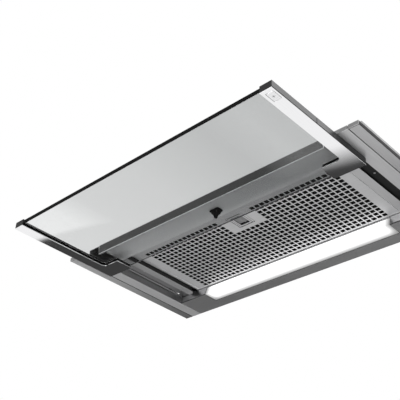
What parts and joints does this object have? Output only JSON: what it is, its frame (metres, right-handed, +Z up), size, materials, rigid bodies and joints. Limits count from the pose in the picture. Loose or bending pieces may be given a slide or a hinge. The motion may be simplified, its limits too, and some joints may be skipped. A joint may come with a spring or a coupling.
{
  "type": "pull out range hood",
  "caption": "Slim built-in extractor hood with a pull-out glass drawer, perforated grease filter, light bar and top duct outlet.",
  "frame": {"origin": "middle of the tray's front edge, in the plane of the cabinet's underside", "axes": "+X to the right seen from the front, +Y towards the wall, +Z up"},
  "size_m": [0.598, 0.435, 0.172],
  "materials": {
    "brushed_steel": "satin, fine brushing along X",
    "polished_steel": "polished",
    "galvanised_steel": "galvanised sheet",
    "black_plastic": "moulded",
    "black_rubber": "matt",
    "filter_aluminium": "satin",
    "clear_glass": "clear tempered glass",
    "light_diffuser": "opal diffuser",
    "bare_steel": "zinc plated",
    "bronze": "sintered",
    "green_board": "circuit board"
  },
  "bodies": {
    "hood": {"trim_left": "brushed_steel", "trim_right": "brushed_steel", "trim_plugs": "brushed_steel", "side_channel_left": "brushed_steel", "side_channel_right": "brushed_steel", "front_panel": "brushed_steel", "rear_panel": "brushed_steel", "guide_rail_left": "galvanised_steel", "guide_rail_right": "galvanised_steel", "end_stops": "black_rubber", "guide_screws": "bare_steel", "plenum_cover": "galvanised_steel", "casing_wrap": "galvanised_steel", "casing_lid": "galvanised_steel", "housing_screws": "bare_steel", "outlet_collar": "black_plastic", "flap_pin": "bare_steel", "fan_scroll": "black_plastic", "fan_inlet_ring": "black_plastic", "fan_motor": "galvanised_steel", "motor_bearings": "bronze", "motor_screws": "bare_steel", "control_box": "galvanised_steel", "control_box_lid": "black_plastic", "control_board": "green_board", "capacitor": "black_plastic", "cable_gland": "black_plastic", "light_lens": "light_diffuser", "light_housing": "galvanised_steel", "light_board": "green_board", "glass_bumper": "black_plastic", "reed_sensor": "black_plastic", "filter_frame": "filter_aluminium", "filter_sheet": "filter_aluminium", "filter_mesh": "filter_aluminium", "latch_cup": "filter_aluminium", "latch_spring": "bare_steel"},
    "drawer": {"rail_left": "filter_aluminium", "rail_right": "filter_aluminium", "rail_trim_left": "polished_steel", "rail_trim_right": "polished_steel", "side_covers_front": "polished_steel", "side_covers_rear": "polished_steel", "end_caps": "black_plastic", "glass_pane": "clear_glass", "glass_edge_strip": "black_rubber", "glass_gaskets": "black_rubber", "foot_pads": "black_plastic", "foot_clamps": "black_plastic", "carriage_left": "bare_steel", "carriage_right": "bare_steel", "glide_blocks": "black_plastic", "button_board": "green_board", "drawer_magnet": "bare_steel"},
    "power_button": {"button_key": "polished_steel"},
    "latch": {"filter_latch": "filter_aluminium"},
    "fan_rotor": {"motor_shaft": "bare_steel", "impeller": "black_plastic"},
    "front_flap": {"flap_front": "black_plastic"},
    "rear_flap": {"flap_rear": "black_plastic"}
  },
  "joints": [
    {"name": "drawer_slide", "type": "slide", "parent": "hood", "child": "drawer", "axis": [0, 1, 0], "range_m": [0, 0.139]},
    {"name": "button_press", "type": "slide", "parent": "drawer", "child": "power_button", "axis": [0, 0, 1], "range_m": [0, 0.0006], "stiffness_N_per_m": 600},
    {"name": "latch_slide", "type": "slide", "parent": "hood", "child": "latch", "axis": [0, 1, 0], "range_m": [0, 0.004], "stiffness_N_per_m": 400, "springref_m": -0.003, "deforming": ["latch_spring"]},
    {"name": "fan_spin", "type": "hinge", "parent": "hood", "child": "fan_rotor", "pos_m": [0, 0.205, 0.076], "axis": [1, 0, 0], "continuous": true},
    {"name": "front_flap_hinge", "type": "hinge", "parent": "hood", "child": "front_flap", "pos_m": [0, 0.228, 0.138], "axis": [-1, 0, 0], "range_deg": [0, 75]},
    {"name": "rear_flap_hinge", "type": "hinge", "parent": "hood", "child": "rear_flap", "pos_m": [0, 0.228, 0.138], "axis": [1, 0, 0], "range_deg": [0, 75]}
  ]
}
